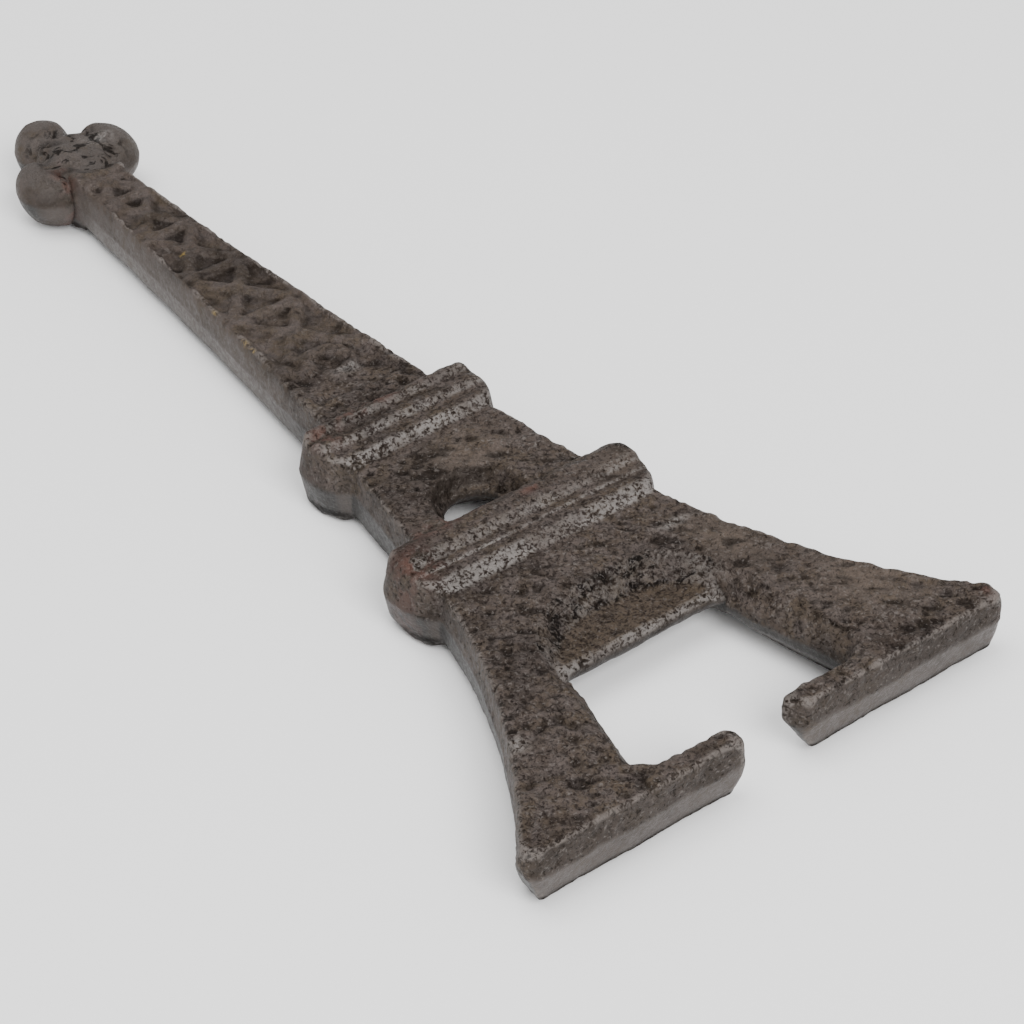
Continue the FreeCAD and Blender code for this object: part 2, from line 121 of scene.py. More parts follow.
def hashed(home, seed):
    """Repeatable numbers from 0 to 1 for whole-number lattice places, by mixing their bits."""
    mixed = home[:, 0] * 73856093 ^ home[:, 1] * 19349663 ^ home[:, 2] * 83492791 ^ seed * 7919
    mixed = (mixed & 0xFFFFFFFF) * 1274126177 & 0xFFFFFFFF
    mixed = (mixed ^ mixed >> 15) * 2246822519 & 0xFFFFFFFF
    return (mixed ^ mixed >> 13 & 0xFFFFFF) % 65521 / 65521


def noise(points, size, seed):
    """Smooth noise from -1 to 1, with lumps of about the given size along each axis."""
    place = points @ TURN / np.array(size)
    corner = np.floor(place).astype(np.int64)
    part = place - corner
    part = part * part * (3 - 2 * part)
    total = np.zeros(len(points))
    for step in np.ndindex(2, 2, 2):
        weight = np.prod(np.where(step, part, 1 - part), axis=1)
        total += weight * hashed(corner + np.array(step), seed)
    return total * 2 - 1


def layer(points, name):
    """One layer of noise, at its own height."""
    height, size, seed = LAYERS[name]
    return height * noise(points, size, seed)


def pits(points, size, share, seed):
    """Depth from 0 to 1 of round pits, at most one in each cell of the given size.

    share is the share of the cells that have a pit.  Radii run from 0.22 to 0.5 of a cell.
    """
    corner = np.floor(points / size).astype(np.int64)
    depth = np.zeros(len(points))
    for step in np.ndindex(3, 3, 3):
        home = corner + np.array(step) - 1
        centre = np.stack([hashed(home, seed + axis) for axis in range(3)], axis=1)
        radius = 0.22 + 0.28 * hashed(home, seed + 3)
        reach = np.linalg.norm(points / size - home - centre, axis=1) / radius
        found = hashed(home, seed + 4) < share
        depth = np.maximum(depth, np.where(found, np.clip(1 - reach, 0, 1), 0))
    return depth * depth * (3 - 2 * depth)


def ramp(value, start, end):
    """0 before start, 1 past end and smooth between them; start may be the larger."""
    share = np.clip((value - start) / (end - start), 0, 1)
    return share * share * (3 - 2 * share)


def blob(points, centre, radii):
    """1 at the centre of a soft spot on the plan, falling to about 0.1 at its radii."""
    away = (points[:, :2] - np.array(centre)) / np.array(radii)
    return np.exp(-2.5 * np.sum(away * away, axis=1))


def blobs(points, spots):
    """The sum of some soft spots."""
    return sum(blob(points, centre, radii) for centre, radii in spots)


# --- the softened body ---------------------------------------------------------------------------

FIRST = np.floor(LOW / CELL).astype(int) - MARGIN
SHAPE = np.ceil(HIGH / CELL).astype(int) + MARGIN - FIRST
GRID_CORNER = tuple(int(cell) for cell in FIRST)


def fill_of(node):
    """Share of each grid cell that a CAD node fills."""
    mesh = frame["nodes"][node].data
    mesh.calc_loop_triangles()
    points = np.empty(len(mesh.vertices) * 3, np.float32)
    mesh.vertices.foreach_get("co", points)
    corners = np.empty(len(mesh.loop_triangles) * 3, np.uint32)
    mesh.loop_triangles.foreach_get("vertices", corners)
    grid = openvdb.FloatGrid.createLevelSetFromPolygons(
        points.reshape(-1, 3) / np.float32(MM), triangles=corners.reshape(-1, 3),
        transform=openvdb.createLinearTransform(voxelSize=CELL), halfWidth=LEVEL_REACH)
    distance = np.empty(tuple(SHAPE), np.float32)
    grid.copyToArray(distance, ijk=GRID_CORNER)
    return np.clip(0.5 - distance / np.float32(CELL), 0, 1)


def softened(field, width):
    """The field blurred along its three axes, with a bell curve of the given width."""
    reach = int(math.ceil(3 * width / CELL))
    steps = range(-reach, reach + 1)
    weights = [math.exp(-0.5 * (step * CELL / width) ** 2) for step in steps]
    scale = sum(weights)
    for axis in range(3):
        total = np.zeros_like(field)
        for step, weight in zip(steps, weights):
            total += np.roll(field, step, axis) * np.float32(weight / scale)
        field = total
    return field


def sampled(field, points):
    """The field's value at each point, by straight-line mixing of the eight cells around it."""
    place = points / CELL - FIRST
    corner = np.floor(place).astype(int)
    part = place - corner
    total = np.zeros(len(points))
    for step in np.ndindex(2, 2, 2):
        weight = np.prod(np.where(step, part, 1 - part), axis=1)
        cells = corner + np.array(step)
        total += weight * field[cells[:, 0], cells[:, 1], cells[:, 2]]
    return total


def cells_of(low, high, spare=0):
    """The first and last grid cells of a box, with some spare ones, kept inside the grid."""
    first = np.maximum(np.floor(low / CELL).astype(int) - FIRST - spare, 0)
    last = np.minimum(np.ceil(high / CELL).astype(int) - FIRST + spare, SHAPE)
    return first, last


def places(axis, first, last):
    """Where the cells from first to last are along an axis."""
    return (np.arange(first[axis], last[axis]) + FIRST[axis]) * CELL


def cut_back(fill, first, last, proud):
    """Empty the cells from first to last where they stand proud of a new surface."""
    part = tuple(slice(start, end) for start, end in zip(first, last))
    kept = np.clip(0.5 - proud / CELL, 0, 1).astype(np.float32)
    fill[part] = np.minimum(fill[part], kept)


# Ranges along X and Y that hold the bevels.
TOES = (SOLES - 1, SOLES + 7)
FEET = (SOLES - 1, SOLES + 9)
LEFT_TIP = (LOW[0] - 1, LOW[0] + 6)
RIGHT_TIP = (HIGH[0] - 6, HIGH[0] + 1)
LIP_WIDTH = (AXIS - 12, AXIS + 12)
LIP_DEPTH = (LIP_LINE - 1, LIP_LINE + 3)

# Where a file or the mould took a corner off: a point on the bevel, the direction that it faces,
# and the ranges along X, Y and Z that it is kept to.
BEVELS = [
    # undercut end of the right toe
    ((2.5, 0, 5.9), (-0.85, 0, -0.52), ((0, 9), TOES, (0, 10))),
    # lower corner of the left toe's end
    ((-4.85, 0, 3.9), (0.9, 0, -0.44), ((-9, 0), TOES, (0, 10))),
    # lower outer corner of the left foot
    ((LOW[0], SOLES + 2.0, 6.8), (-0.92, 0.04, -0.33), (LEFT_TIP, FEET, (0, 7))),
    # upper and lower edge of the right foot's tip
    ((HIGH[0], 0, 6.4), (0.9, 0, 0.44), (RIGHT_TIP, FEET, (5, 10))),
    ((HIGH[0], SOLES + 1.8, 3.2), (0.78, -0.25, -0.57), (RIGHT_TIP, FEET, (0, 5))),
    # sloping upper and lower edge of the lip
    ((AXIS, LIP_LINE, 5.75), (0, -0.62, 0.78), (LIP_WIDTH, LIP_DEPTH, (PARTING, 10))),
    ((AXIS, LIP_LINE, 4.35), (0, -0.62, -0.78), (LIP_WIDTH, LIP_DEPTH, (0, PARTING))),
]


def take_off(fill, point, facing, ranges):
    """Plane one bevel off the filled grid, inside its ranges."""
    low, high = np.array(ranges, float).T
    first, last = cells_of(low, high)
    facing = np.array(facing) / np.linalg.norm(facing)
    proud = np.zeros(last - first, np.float32)
    for axis in range(3):
        line = (places(axis, first, last) - point[axis]) * facing[axis]
        shape = [1, 1, 1]
        shape[axis] = -1
        proud += line.reshape(shape).astype(np.float32)
    cut_back(fill, first, last, proud)


# Platform ends: the side they are on, their node, and how far in from the tip the rounding starts.
ROUND_ENDS = [
    (-1, "lower_platform", 3.0), (1, "lower_platform", 1.8),
    (-1, "upper_platform", 1.5), (1, "upper_platform", 2.6),
]
END_SPARE_CELLS = 2
END_SPARE_HEIGHT = 0.2


def round_off(fill, side, node, reach):
    """Round one end of a platform over from its crest to its back."""
    low, high = BOXES[node]
    first, last = cells_of(low, high, END_SPARE_CELLS)
    middle = int(round(AXIS / CELL)) - FIRST[0]
    if side > 0:
        tip = high[0]
        first[0] = middle
    else:
        tip = low[0]
        last[0] = middle
    out = np.clip(side * (places(0, first, last) - tip) + reach, 0, None) / reach
    up = (places(2, first, last) - PARTING) / (HIGH[2] - PARTING + END_SPARE_HEIGHT)
    proud = (np.hypot(out[:, None], up[None, :]) - 1) * reach
    cut_back(fill, first, last, proud[:, None, :])


# How much of the wide softening the worn regions take: the panel everywhere and more on its left,
# the shaft's left edge, and the finial.
PANEL_WEAR = 0.3
PANEL_LEFT_WEAR = 0.35
EDGE_WEAR = 0.55
FINIAL_WEAR = 0.8


def wear_of_grid():
    """How far each column of the grid is worn towards the wide softening."""
    nowhere = np.zeros(3, int)
    across = places(0, nowhere, SHAPE)[:, None] - AXIS
    along = places(1, nowhere, SHAPE)[None, :]
    half_widths = [BOXES["shaft"][1][0] - AXIS, BOXES["finial_block"][1][0] - AXIS]
    share = across / np.interp(along, [SHAFT_FOOT, FINIAL_FOOT], half_widths)
    panel = ramp(np.abs(share), 0.9, 0.72) * ramp(along, SHAFT_FOOT + 3, SHAFT_FOOT + 8)
    panel *= PANEL_WEAR + PANEL_LEFT_WEAR * ramp(share, 0.1, -0.6)
    left_edge = ramp(share, -0.7, -0.85) * ramp(along, SHAFT_FOOT + 1, SHAFT_FOOT + 6)
    shaft = np.maximum(panel, EDGE_WEAR * left_edge)
    finial = ramp(along, FINIAL_FOOT - 0.1, FINIAL_FOOT + 4.4)
    worn = np.maximum(FINIAL_WEAR * finial, shaft * (1 - finial))
    return worn[:, :, None].astype(np.float32)


def make_body():
    """The softened body: its skin's points and faces, and how much it bulges at each point."""
    fill = np.zeros(tuple(SHAPE), np.float32)
    for node in NODES:
        fill += fill_of(node)
    fill = np.clip(fill, 0, 1)
    for point, facing, ranges in BEVELS:
        take_off(fill, point, facing, ranges)
    for side, node, reach in ROUND_ENDS:
        round_off(fill, side, node, reach)
    soft = softened(fill, SOFTENING)
    wide = softened(fill, WIDE_SOFTENING)
    soft += (wide - soft) * wear_of_grid()
    grid = openvdb.FloatGrid(0.5)
    grid.transform = openvdb.createLinearTransform(voxelSize=CELL)
    grid.copyFromArray(0.5 - soft, ijk=GRID_CORNER)
    points, quads = grid.convertToQuads(0.0)
    points = points.astype(float)
    bulge = 0.5 - sampled(wide, points)
    return points, quads, bulge


# --- the rough skin ------------------------------------------------------------------------------

# Soft spots on the plan: centre and radii.
RUST_SPOTS = [
    ((AXIS - 9, -28.6), (7, 2.2)), ((AXIS - 15.5, -33), (3.5, 4)), ((AXIS + 3, -30.2), (2.5, 1)),
    ((AXIS - 3, -5.6), (7.5, 1.2)), ((AXIS - 10, -7.5), (3, 3)),
    ((HIGH[0] - 1.5, SOLES + 2), (2, 2)), ((AXIS - 4, 61), (2.0, 3.4)),
]
BARE_SPOTS = [
    ((AXIS + 1, 3.2), (2.6, 0.9)), ((AXIS + 4.5, 65.5), (3, 1.6)), ((AXIS - 24, -62), (2, 2)),
    ((AXIS + 24, -57), (2.5, 1.2)), ((AXIS + 13, -44), (3, 1)),
]
TAN_SPOTS = [
    ((AXIS + 25, -64), (10, 9)), ((AXIS + 16, -50), (5, 8)), ((AXIS + 14, -33), (5, 3)),
    ((AXIS + 2, -19), (8, 5)),
]
BRASS_SPOTS = [
    ((AXIS - 5.6, 23.0), (0.5, 0.7)), ((AXIS - 6.2, 15.4), (0.6, 0.9)),
    ((AXIS - 6.3, 13.4), (0.5, 0.6)), ((AXIS - 1.5, 36.0), (0.5, 0.6)),
]
# Soft swellings of the casting: centre and radii on the plan, and height.
SWELLINGS = [
    ((AXIS - 4.2, 60.2), (2.2, 2.2), 0.6), ((AXIS + 0.5, 72.5), (3.5, 3.5), 0.3),
    ((AXIS + 7.5, 66), (4, 4.5), 0.45), ((-5.2, SOLES + 1.5), (2, 2.5), 0.35),
    ((HIGH[0], SOLES + 2.5), (3, 3), 0.35), ((AXIS - 18, -34), (3, 5), 0.35),
    ((AXIS - 13, -9.5), (2.5, 4), 0.55), ((AXIS + 16, -31), (3, 3), 0.25),
]
# A row of small nicks down the shaft's left edge.
NICK_SPOTS = [((AXIS - 3.1 - 0.1 * step, 52 - 2.05 * step), (0.55, 0.75)) for step in range(9)]
NICK_DEPTH = 0.35

# Two sizes of pit: size of their cells, share of the cells that have one, seed, and depth.
LARGE_PITS = (2.5, 0.08, 6)
LARGE_PIT_DEPTH = 0.20
SMALL_PITS = (1.3, 0.16, 16)
SMALL_PIT_DEPTH = 0.14

# Height of relief that counts as 1 in the notes.
NOTED_RELIEF = 0.2

# How far the leg walls are trimmed, and how far the walls and the soles lean in at the back.
OUTER_TRIM = 0.5
INNER_TRIM = 0.2
WALL_TILT = 0.08
SOLE_TILT = 0.12
# Height from the parting plane past which the finial is flattened.
FINIAL_FLAT = 3.3


def skin_normals(points, quads):
    """Unit normals at the points of the skin."""
    across = points[quads[:, 2]] - points[quads[:, 0]]
    along = points[quads[:, 3]] - points[quads[:, 1]]
    facing = np.cross(across, along)
    total = np.zeros_like(points)
    for corner in range(4):
        for axis in range(3):
            total[:, axis] += np.bincount(quads[:, corner], facing[:, axis], len(points))
    return total / np.linalg.norm(total, axis=1, keepdims=True)


def regions_of(points, normals, bulge):
    """Where each point is and how it faces, and soft masks from 0 to 1 for the regions."""
    height, across, along = points[:, 2], points[:, 0] - AXIS, points[:, 1]
    upright = np.abs(normals[:, 2])
    wall = ramp(upright, 0.8, 0.4)
    wander = PARTING + layer(points, "parting") + layer(points, "parting_fine")
    finial = ramp(along, FINIAL_FOOT - 0.6, FINIAL_FOOT + 2.4)
    core = finial * ramp(np.abs(across - 0.6), 7.4, 4.4) * ramp(along, TIP - 2.9, TIP - 6.9)
    core *= ramp(normals[:, 2], -0.1, 0.6) + ramp(normals[:, 2], 0.1, -0.6)
    # the floors of the recess round the mouth, on both faces
    floor = ramp(height, 7.4, 6.8) * ramp(height, 2.7, 3.3) * ramp(upright, 0.8, 0.9)
    floor *= ramp(along, LOWER_FOOT - 7.1, LOWER_FOOT - 8.1)
    floor *= ramp(along, LIP_LINE - 1, LIP_LINE)
    # the two ridged platforms
    lower_band = ramp(along, LOWER_FOOT - 1.7, LOWER_FOOT - 0.5)
    lower_band *= ramp(along, BAY_FOOT + 1.1, BAY_FOOT - 0.5)
    upper_band = ramp(along, UPPER_FOOT - 1.6, UPPER_FOOT - 0.3)
    upper_band *= ramp(along, SHAFT_FOOT + 0.8, SHAFT_FOOT - 0.8)
    return SimpleNamespace(
        height=height, across=across, along=along, upright=upright, facing=normals, bulge=bulge,
        wall=wall, finial=finial, core=core, floor=floor, band=lower_band + upper_band,
        under=ramp(height, wander + 0.5, wander - 0.5),
        sole=wall * ramp(-normals[:, 1], 0.4, 0.8),
        calm=ramp(along, SHAFT_FOOT - 1.6, SHAFT_FOOT + 22.4))


def swelling_of(points, skin):
    """The broad unevenness of the casting: lumps, swellings and trimmed leg walls."""
    across, along, facing = skin.across, skin.along, skin.facing
    swell = layer(points, "casting") + layer(points, "casting_fine")
    swell += skin.finial * (layer(points, "finial") - 0.02)
    swell += sum(rise * blob(points, centre, radii) for centre, radii, rise in SWELLINGS)
    outer = ramp(facing[:, 0], 0.1, 0.6) * ramp(across, 19, 24)
    outer *= ramp(along, LIP_LINE - 3, LIP_LINE - 14) * ramp(along, SOLES + 2, SOLES + 5)
    inner = ramp(-facing[:, 0] * np.sign(across), 0.1, 0.6) * ramp(np.abs(across), 17.5, 15.5)
    inner *= ramp(along, SOLES + 4, SOLES + 7) * ramp(along, LIP_LINE, LIP_LINE - 2)
    return swell - (OUTER_TRIM * outer + INNER_TRIM * inner)


def relief_of(points, skin):
    """How rough each point is, and the sandy relief, the pits and the nicks there."""
    low_edge = np.maximum(ramp(skin.upright, 0.995, 0.9), ramp(skin.bulge, 0.02, 0.1)) * skin.under
    rough = (1 - 0.5 * skin.wall) * (1 - 0.7 * low_edge)
    rough *= 1 - 0.65 * skin.finial * (1 - skin.core)
    rough *= (1 - 0.3 * skin.calm) * (1 - 0.6 * skin.floor) * (1 - 0.45 * skin.band)
    fibres = 0.19 * (0.7 - 2 * np.abs(noise(points, (1.7, 1.0, 1.3), 4)))
    grain = layer(points, "grain") * (1 - 0.4 * skin.calm)
    relief = (layer(points, "hammered") + fibres + grain) * rough
    holes = (1 - skin.floor) * pits(points, *LARGE_PITS) * LARGE_PIT_DEPTH
    holes += pits(points, *SMALL_PITS) * SMALL_PIT_DEPTH
    nicked = np.zeros(len(points))
    for centre, radii in NICK_SPOTS:
        nicked = np.maximum(nicked, blob(points, centre, radii))
    return rough, relief, holes, nicked * (1 - skin.wall)


def roughened(points, skin, rough, relief, holes, nicked):
    """The points, moved as sand, draft and wear shaped the skin."""
    crumbled = layer(points, "crumbled") + layer(points, "crumbled_fine") - 0.12
    line = np.exp(-((skin.height - PARTING) / 0.2) ** 2) * skin.wall
    flash = 0.06 * line * (0.6 + 0.8 * noise(points, 2.6, 9))
    drop = np.clip((PARTING - skin.height) / (PARTING - BACK), 0, 1)
    tilt = -(WALL_TILT * skin.wall + SOLE_TILT * skin.sole) * drop
    push = swelling_of(points, skin) + relief - holes * rough + skin.core * crumbled
    push += flash + tilt - NICK_DEPTH * nicked
    moved = points + skin.facing * push[:, None]
    right_or_tip = np.maximum(ramp(skin.across, -1, 2), ramp(skin.along, TIP - 10.4, TIP - 7.4))
    above = moved[:, 2] - PARTING
    proud = np.clip(np.abs(above) - FINIAL_FLAT, 0, None) * np.sign(above)
    moved[:, 2] -= 0.5 * skin.finial * right_or_tip * proud
    return np.clip(moved, LOW, HIGH)


def slope_note(points, skin, lip):
    """Where a slope that faces the feet is painted pale: the platforms' ridges and the lip. It is
    partly worn iron and partly a painted highlight of the lamp on the feet's side.
    """
    along = skin.along
    slope = ramp(-skin.facing[:, 1], 0.13, 0.38) * ramp(skin.upright, 0.12, 0.4)
    arch = 0.3 + layer(points, "arch")
    ridges = 1 - 0.4 * ramp(along, UPPER_FOOT + 3.7, UPPER_FOOT + 4.5)
    ridges -= 0.3 * ramp(along, LOWER_FOOT + 4.3, LOWER_FOOT + 5.1) * (along < UPPER_FOOT - 6.1)
    slope *= np.clip(arch + (1 - arch) * np.clip(skin.band + lip, 0, 1), 0, 1) * ridges
    slope *= ramp(along, SOLES + 5, SOLES + 9)
    slope *= 1 - 0.85 * ramp(along, SHAFT_FOOT - 0.6, SHAFT_FOOT + 2.4)
    in_bay = ramp(along, BAY_FOOT - 0.3, BAY_FOOT + 0.7)
    in_bay *= ramp(along, UPPER_FOOT - 1.6, UPPER_FOOT - 3.1)
    return slope * (1 - in_bay)


def notes_of(points, skin, relief, holes, nicked):
    """What the iron finish needs to know about each point."""
    height, along, upright = skin.height, skin.along, skin.upright
    wall, under, sole = skin.wall, skin.under, skin.sole
    up = skin.facing[:, 2]
    front = ramp(up, 0.1, 0.5)
    shaft = skin.calm * (1 - skin.finial)
    lip = blob(points, (AXIS, LIP_LINE + 0.2), (40, 1.1))
    # lip_edge and low_rim are where a shadow line is painted: under the lip, and along the lowest
    # millimetre of the walls against the floor
    lip_edge = lip * ramp(height, PARTING + 0.5, PARTING - 0.2)
    lip_edge *= ramp(np.abs(skin.across), 12, 11)
    low_rim = ramp(height, BACK + 1.1, BACK + 0.2) * ramp(upright, 0.97, 0.7)
    # arch: the steep slope of the recess over the mouth, where a broken shadow line is painted
    arch = ramp(-skin.facing[:, 1], 0.1, 0.3) * ramp(upright, 0.1, 0.4) * (1 - np.clip(lip, 0, 1))
    arch *= ramp(along, LOWER_FOOT - 2.1, LOWER_FOOT - 3.6)
    arch *= ramp(along, LIP_LINE + 1, LIP_LINE + 3)
    return {
        "wall": wall,
        "under": under,
        "calm": skin.calm,
        "floor": skin.floor,
        "bulge": skin.bulge,
        "relief": relief / NOTED_RELIEF,
        "core": np.clip(skin.core, 0, 1),
        "finial": skin.finial * ramp(up, 0.1, 0.8),
        "pale": wall * (1 - 0.85 * sole) * (0.15 + 0.85 * shaft * ramp(height, 8.0, 6.4)),
        # the lower halves of the walls, away from the soles and the shaft, where shade is painted
        "belly": wall * under * (1 - sole) * (1 - shaft),
        "brow": sole * (1 - under),
        "sole": under * (0.05 * wall + 0.95 * sole),
        # slopes painted pale: partly worn iron, partly a painted highlight
        "slope": slope_note(points, skin, lip),
        "arch": arch,
        # where a shadow line is painted
        "rim": np.maximum(low_rim, lip_edge),
        # where shade is painted in the pits and nicks
        "pitted": np.clip(holes * 3 + nicked, 0, 1),
        "rust": np.clip(blobs(points, RUST_SPOTS), 0, 1),
        "tan": np.clip(blobs(points, TAN_SPOTS), 0, 1) * front,
        "bare": np.clip(blobs(points, BARE_SPOTS), 0, 1) * front,
        "brass": np.clip(blobs(points, BRASS_SPOTS), 0, 1) * ramp(up, 0.2, 0.7),
    }


def roughen(points, quads, bulge):
    """The skin's moved points, and its notes."""
    skin = regions_of(points, skin_normals(points, quads), bulge)
    rough, relief, holes, nicked = relief_of(points, skin)
    moved = roughened(points, skin, rough, relief, holes, nicked)
    return moved, notes_of(points, skin, relief, holes, nicked)


def make_skin():
    """The whole rough skin as one closed mesh, with its notes as point attributes."""
    points, quads, bulge = make_body()
    first, second = points[quads[:, 0]], points[quads[:, 1]]
    third, fourth = points[quads[:, 2]], points[quads[:, 3]]
    if np.sum(first * np.cross(third - first, fourth - second)) < 0:
        quads = quads[:, ::-1]
    points, notes = roughen(points, quads, bulge)
    mesh = bpy.data.meshes.new("skin")
    mesh.from_pydata(points, [], quads)
    for name, values in notes.items():
        attribute = mesh.attributes.new(name, "FLOAT", "POINT")
        attribute.data.foreach_set("value", values.astype(np.float32))
    attribute = mesh.attributes.new("skin_normal", "FLOAT_VECTOR", "POINT")
    attribute.data.foreach_set("vector", skin_normals(points, quads).astype(np.float32).ravel())
    mesh.shade_smooth()
    return mesh


# --- the pieces ----------------------------------------------------------------------------------


def cut_in_two(whole, point, facing):
    """Cut a closed mesh with a plane into two closed ones, behind the plane and in front of it."""
    point, facing = Vector(point), Vector(facing)
    bmesh.ops.bisect_plane(
        whole, geom=whole.verts[:] + whole.edges[:] + whole.faces[:], dist=CUT_TOLERANCE,
        plane_co=point, plane_no=facing)
    halves = []
    for half, side in ((whole, 1), (whole.copy(), -1)):
        gone = [face for face in half.faces
                if (face.calc_center_median() - point).dot(facing) * side > 0]
        bmesh.ops.delete(half, geom=gone, context="FACES")
        rim = [edge for edge in half.edges if edge.is_boundary]
        filled = bmesh.ops.triangle_fill(half, edges=rim, use_beauty=False, use_dissolve=False)
        for face in filled["geom"]:
            if isinstance(face, bmesh.types.BMFace):
                face.smooth = False
                if face.normal.dot(facing) * side < 0:
                    face.normal_flip()
        halves.append(half)
    return halves


# How far the cuts beside the finial's block stand inside the lobes.
LOBE_OVERLAP = 0.5


def cut_pieces(skin):
    """The skin cut on the planes where the CAD nodes meet, as {name: closed mesh}."""
    whole = bmesh.new()
    whole.from_mesh(skin)
    pieces = {}
    along, across = (0, 1, 0), (1, 0, 0)

    def foot_of(name):
        return (0, BOXES[name][0][1], 0)

    below, above = cut_in_two(whole, foot_of("lower_platform"), along)
    legs, pieces["arch_web"] = cut_in_two(below, foot_of("arch_web"), along)
    feet, legs = cut_in_two(legs, foot_of("left_leg"), along)
    pieces["left_foot"], pieces["right_foot"] = cut_in_two(feet, (AXIS, 0, 0), across)
    pieces["left_leg"], pieces["right_leg"] = cut_in_two(legs, (AXIS, 0, 0), across)
    middle, top = cut_in_two(above, foot_of("shaft"), along)
    pieces["lower_platform"], middle = cut_in_two(middle, foot_of("hanger_bay"), along)
    pieces["hanger_bay"], pieces["upper_platform"] = cut_in_two(
        middle, foot_of("upper_platform"), along)
    pieces["shaft"], finial = cut_in_two(top, foot_of("finial_block"), along)
    right_side = (BOXES["finial_right_lobe"][0][0] + LOBE_OVERLAP, 0, 0)
    left_side = (BOXES["finial_left_lobe"][1][0] - LOBE_OVERLAP, 0, 0)
    finial, pieces["finial_right_lobe"] = cut_in_two(finial, right_side, across)
    finial, pieces["finial_tip"] = cut_in_two(finial, foot_of("finial_tip"), along)
    pieces["finial_left_lobe"], pieces["finial_block"] = cut_in_two(finial, left_side, across)
    return pieces


def values_of(items, name, kind, width=1):
    """One value, or a row of several, for each of a mesh's items."""
    values = np.empty(len(items) * width, kind)
    items.foreach_get(name, values)
    return values if width == 1 else values.reshape(-1, width)


def piece_normals(mesh):
    """The normals at a piece's corners: the skin's own, and each cut face's where it was cut."""
    skin = values_of(mesh.attributes["skin_normal"].data, "vector", np.float32, 3)
    smooth = values_of(mesh.polygons, "use_smooth", bool)
    sizes = values_of(mesh.polygons, "loop_total", np.int32)
    flat = values_of(mesh.polygons, "normal", np.float32, 3)
    ends = values_of(mesh.loops, "vertex_index", np.int32)
    return np.where(np.repeat(smooth, sizes)[:, None], skin[ends], np.repeat(flat, sizes, axis=0))


def make_piece(name, part, iron):
    """One closed piece in metres, whose shading runs on unbroken over its seams."""
    mesh = bpy.data.meshes.new(f"{name}_skin")
    part.to_mesh(mesh)
    part.free()
    normals = piece_normals(mesh)
    mesh.attributes.remove(mesh.attributes["skin_normal"])
    points = values_of(mesh.vertices, "co", np.float32, 3)
    mesh.vertices.foreach_set("co", (points * np.float32(MM)).ravel())
    mesh.update()
    mesh.normals_split_custom_set(normals.tolist())
    mesh.materials.append(iron)
    piece = bpy.data.objects.new(f"{name}_skin", mesh)
    bpy.context.scene.collection.objects.link(piece)
    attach(piece, "root")
    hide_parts(name)


# --- the iron finish -----------------------------------------------------------------------------


class Finish:
    """Short ways to add nodes to one material."""

    def __init__(self, name):
        """A new material with nothing in it but the place that its noises read."""
        self.material = bpy.data.materials.new(name)
        self.material.use_nodes = True
        self.tree = self.material.node_tree
        self.tree.nodes.clear()
        self.place = self.node("ShaderNodeTexCoord").outputs["Object"]

    def node(self, kind, **settings):
        """A new node with the given settings."""
        node = self.tree.nodes.new(kind)
        for key, value in settings.items():
            setattr(node, key, value)
        return node

    def set(self, socket, value):
        """Link a socket to an output, or give it a plain value."""
        if isinstance(value, bpy.types.NodeSocket):
            self.tree.links.new(value, socket)
        else:
            socket.default_value = value

    def note(self, name):
        """One of the skin's notes."""
        return self.node("ShaderNodeAttribute", attribute_name=name).outputs["Fac"]

    def grain(self, size, detail=3.0, roughness=0.55, twist=0.0):
        """Noise from 0 to 1 whose lumps are about size millimetres across."""
        node = self.node("ShaderNodeTexNoise")
        self.set(node.inputs["Vector"], self.place)
        self.set(node.inputs["Scale"], 1 / (size * MM))
        self.set(node.inputs["Detail"], detail)
        self.set(node.inputs["Roughness"], roughness)
        self.set(node.inputs["Distortion"], twist)
        return node.outputs["Fac"]

    def sum(self, first, second, operation="ADD"):
        """first plus second."""
        node = self.node("ShaderNodeMath", operation=operation)
        self.set(node.inputs[0], first)
        self.set(node.inputs[1], second)
        return node.outputs[0]

    def times(self, first, second):
        """first times second."""
        return self.sum(first, second, "MULTIPLY")

    def between(self, value, low, high, start=0.0, end=1.0):
        """start below low, end above high, and smooth between them."""
        node = self.node("ShaderNodeMapRange", interpolation_type="SMOOTHSTEP")
        self.set(node.inputs["Value"], value)
        self.set(node.inputs["From Min"], low)
        self.set(node.inputs["From Max"], high)
        self.set(node.inputs["To Min"], start)
        self.set(node.inputs["To Max"], end)
        return node.outputs["Result"]

    def mix(self, share, first, second):
        """Colour between first and second."""
        node = self.node("ShaderNodeMix", data_type="RGBA")
        self.set(node.inputs["Factor"], share)
        colours = [socket for socket in node.inputs if socket.type == "RGBA"]
        for socket, value in zip(colours, (first, second)):
            if not isinstance(value, bpy.types.NodeSocket):
                value = (*value, 1.0)
            self.set(socket, value)
        return [socket for socket in node.outputs if socket.type == "RGBA"][0]

    def show(self, surface):
        """Finish the material with its surface shader."""
        output = self.node("ShaderNodeOutputMaterial")
        self.set(output.inputs["Surface"], surface.outputs["BSDF"])
        return self.material


BROWN = (0.048, 0.0340, 0.0255)
DARK_BROWN = (0.027, 0.021, 0.0172)
UMBER = (0.018, 0.013, 0.0105)
MAUVE = (0.069, 0.053, 0.046)
OLIVE = (0.054, 0.038, 0.024)
TAN = (0.088, 0.065, 0.049)
# dark grey for the painted shade on the lower halves of the walls
BELLY_GREY = (0.026, 0.0255, 0.025)
WALL_GREY = (0.066, 0.055, 0.049)
FACET_GREY = (0.068, 0.058, 0.053)
# pale grey: the worn iron of the bare spots, and the slopes that face the feet, which are partly
# worn and partly a painted highlight
SLOPE_GREY = (0.170, 0.156, 0.146)
# pale grey for the convex edges, the crests and the pale specks: partly worn iron, partly a painted
# highlight
EDGE_GREY = (0.125, 0.108, 0.098)
